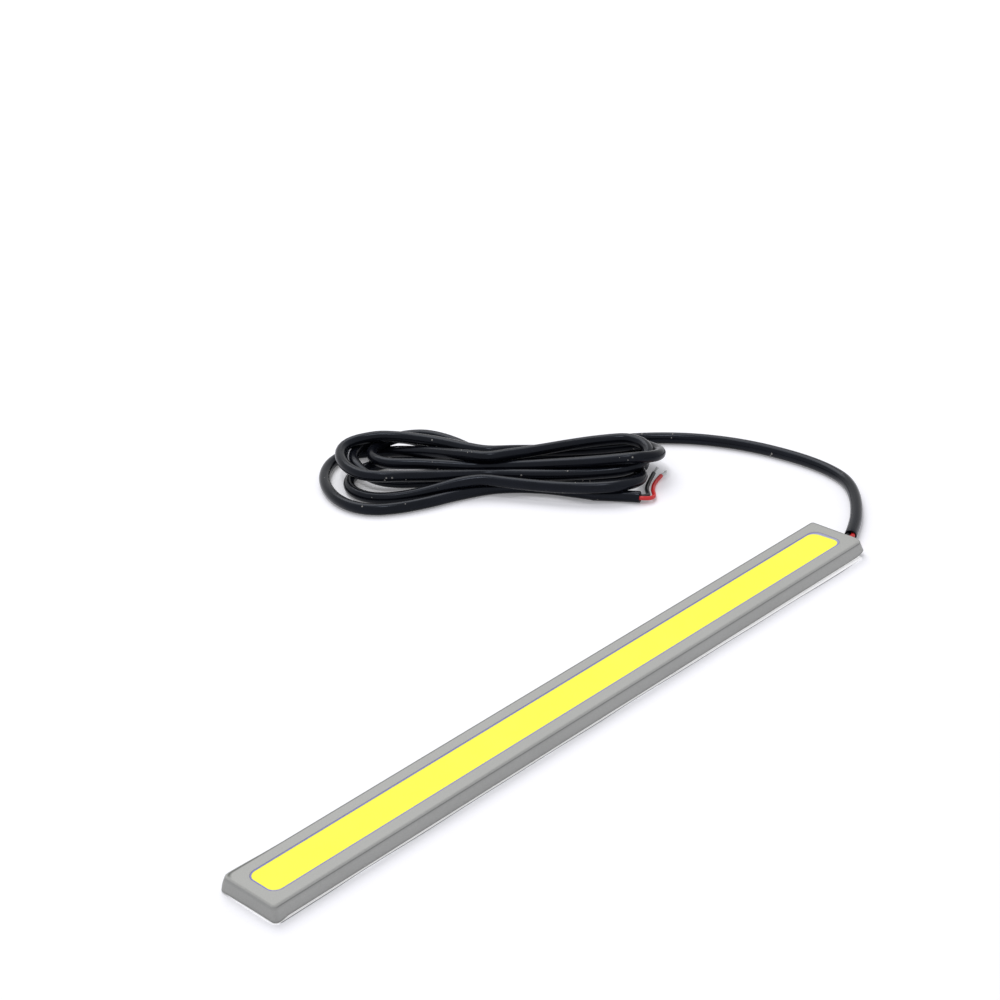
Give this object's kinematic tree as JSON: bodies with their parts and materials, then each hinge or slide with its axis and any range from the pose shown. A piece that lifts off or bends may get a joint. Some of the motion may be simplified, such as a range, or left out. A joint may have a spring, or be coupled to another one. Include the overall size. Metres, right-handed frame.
{
  "type": "daytime running light",
  "caption": "Slim stick-on daytime running light: a long aluminium strip with a yellow phosphor window and a thin two-core black cable folded into a hank.",
  "frame": {"origin": "middle of the sticking face, on the surface that the light lies on", "axes": "+X along the light towards its cable, +Y across the light, +Z out of the lit face"},
  "size_m": [0.1976, 0.1316, 0.0084],
  "materials": {
    "shell_aluminium": "satin grey coat on stamped aluminium sheet",
    "board_laminate": "white solder mask over an aluminium core board",
    "dam_silicone": "pale violet silicone, smooth",
    "chip_ceramic": "bare chips on white mask",
    "resistor_black": "black glazed film",
    "phosphor_silicone": "smooth yellow silicone with phosphor",
    "potting_black": "black casting resin",
    "seal_black": "black silicone bead",
    "tape_foam": "white closed cell foam, matte",
    "liner_film": "white coated paper liner, smooth",
    "solder": "bright tin solder, smooth",
    "lead_red": "red vinyl insulation, satin",
    "lead_black": "black vinyl insulation, satin",
    "tinned_strands": "tinned copper strands twisted together",
    "sheath_black": "black vinyl sheath, matte with a soft sheen and dust"
  },
  "bodies": {
    "root": {"front_shell": "shell_aluminium", "led_board": "board_laminate", "chip_dam": "dam_silicone", "led_chips": "chip_ceramic", "group_resistors": "resistor_black", "phosphor_fill": "phosphor_silicone", "rear_potting": "potting_black", "exit_seal": "seal_black", "foam_tape": "tape_foam", "release_liner": "liner_film", "solder_joint_positive": "solder", "solder_joint_negative": "solder", "lead_positive_lamp_end": "lead_red", "lead_negative_lamp_end": "lead_black", "strands_positive_lamp_end": "tinned_strands", "strands_negative_lamp_end": "tinned_strands", "cable_run": "sheath_black", "cable_hank": "sheath_black", "lead_positive_far_end": "lead_red", "lead_negative_far_end": "lead_black", "tinned_tip_positive": "tinned_strands", "tinned_tip_negative": "tinned_strands", "cable_tail": "sheath_black"}
  },
  "joints": []
}
